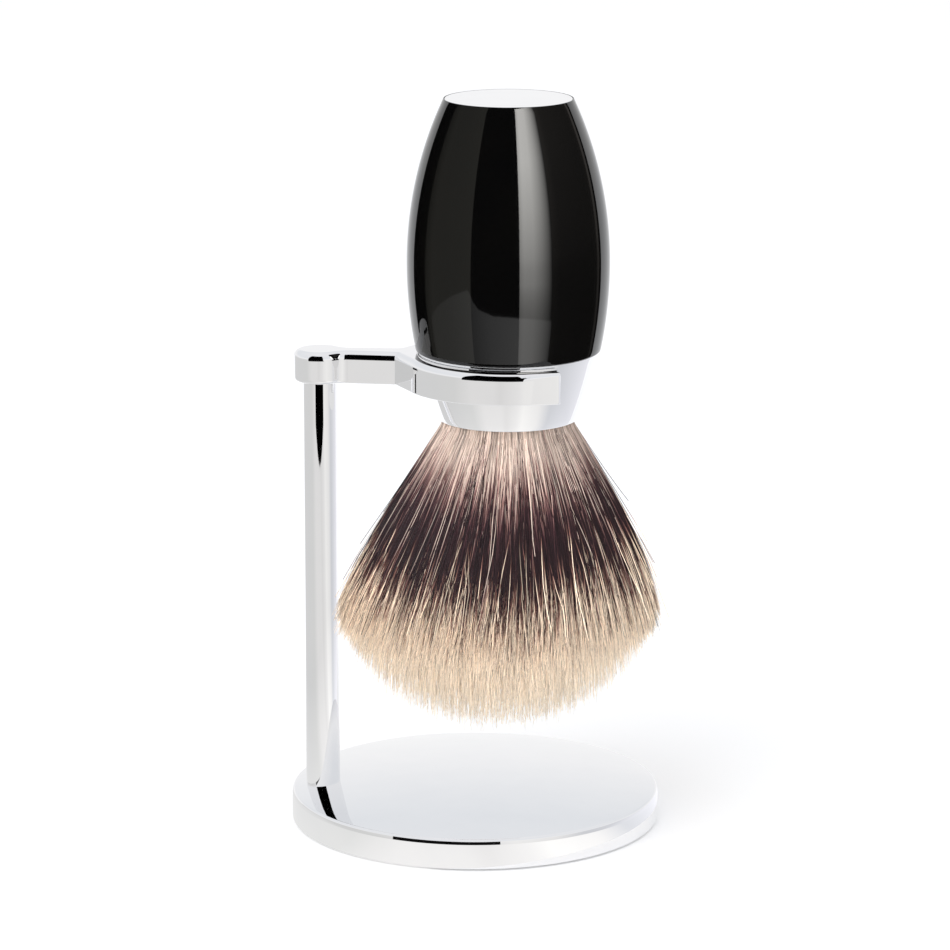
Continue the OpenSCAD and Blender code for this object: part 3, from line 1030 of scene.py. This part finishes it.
def makeCards(others):
    handleOnly = bpy.data.collections.new("handleOnly")
    handleOnly.objects.link(bpy.data.objects["brush_handle"])
    notHandle = bpy.data.collections.new("notHandle")
    notPost = bpy.data.collections.new("notPost")
    seesNoGapTop = bpy.data.collections.new("seesNoGapTop")
    for piece in others:
        if piece.name != "brush_handle":
            notHandle.objects.link(piece)
            if piece.name != "stand_post":
                notPost.objects.link(piece)
                if piece.name != "arm_fork_polished":
                    seesNoGapTop.objects.link(piece)
    solid = makeGlow("cardGlow", False)
    through = makeGlow("cardGlowOver", True)
    edge = surround["edge"]
    leftEdge = edge + surround["leftMore"]
    makeCard("card_floor", (-leftEdge, edge), floorProfile, floorGlow, solid, notHandle, columns=97)
    gap = (surround["gapFrom"], surround["gapTo"])
    makeCard("card_wall_left", (-leftEdge, gap[0]), wallProfile, wallGlow, solid, notHandle)
    makeCard("card_wall_right", (gap[1], edge), wallProfile, wallGlow, solid, notHandle)
    makeCard("card_wall_front", gap, wallProfile, wallGlow, solid, notHandle)
    makeCard("card_gap", gap, gapProfile, gapGlow, solid, notHandle)
    makeCard("card_gap_top", gap, gapTopProfile, wallGlow, solid, seesNoGapTop)
    makeCard("card_ferrule_mouth", (-180, 180), mouthProfile, mouthGlow, solid, notHandle)
    reachAcross = postGap["half"]
    makeCard("card_post_gap", (postGap["middle"] - reachAcross, postGap["middle"] + reachAcross),
             postGapProfile, floorGlow, solid, notPost, postAxis)
    makeCard("card_strip", brightStrip["bearings"], stripProfile, stripGlow, through, handleOnly)
    makeCard("card_dim_wall", dimWall["bearings"], stripProfile, dimGlow, through, handleOnly)
    makeCard("card_dim_right", dimRight["bearings"], stripProfile, rightGlow, through, handleOnly)
    makeCard("card_table", tableGlow["bearings"], tableProfile, tableColour, through, handleOnly)


view = dict(lens=165.17, sensor=36, place=(0, -0.7439, 0.2363), down=13.177)


def makeCamera():
    data = bpy.data.cameras.new("camera")
    data.lens = view["lens"]
    data.sensor_width = view["sensor"]
    camera = bpy.data.objects.new("camera", data)
    scene.collection.objects.link(camera)
    camera.location = view["place"]
    camera.rotation_euler = (math.radians(90 - view["down"]), 0, 0)
    scene.camera = camera


modelPieces = [piece for piece in bpy.data.objects if piece.type == "MESH"]
makeFloor()
makeSky()
makeCards(modelPieces)
fibresOnly = bpy.data.collections.new("fibresOnly")
for piece in modelPieces:
    if piece.name.startswith("knot_"):
        fibresOnly.objects.link(piece)
placeLight("key", studio["keyPlace"], studio["keyTarget"], studio["keySize"], studio["keyPower"])
placeLight("fibre_fill", studio["fillPlace"], studio["fillTarget"], studio["fillSize"],
           studio["fillPower"], fibresOnly)
makeCamera()
scene.view_settings.view_transform = "Standard"
print("studio made")
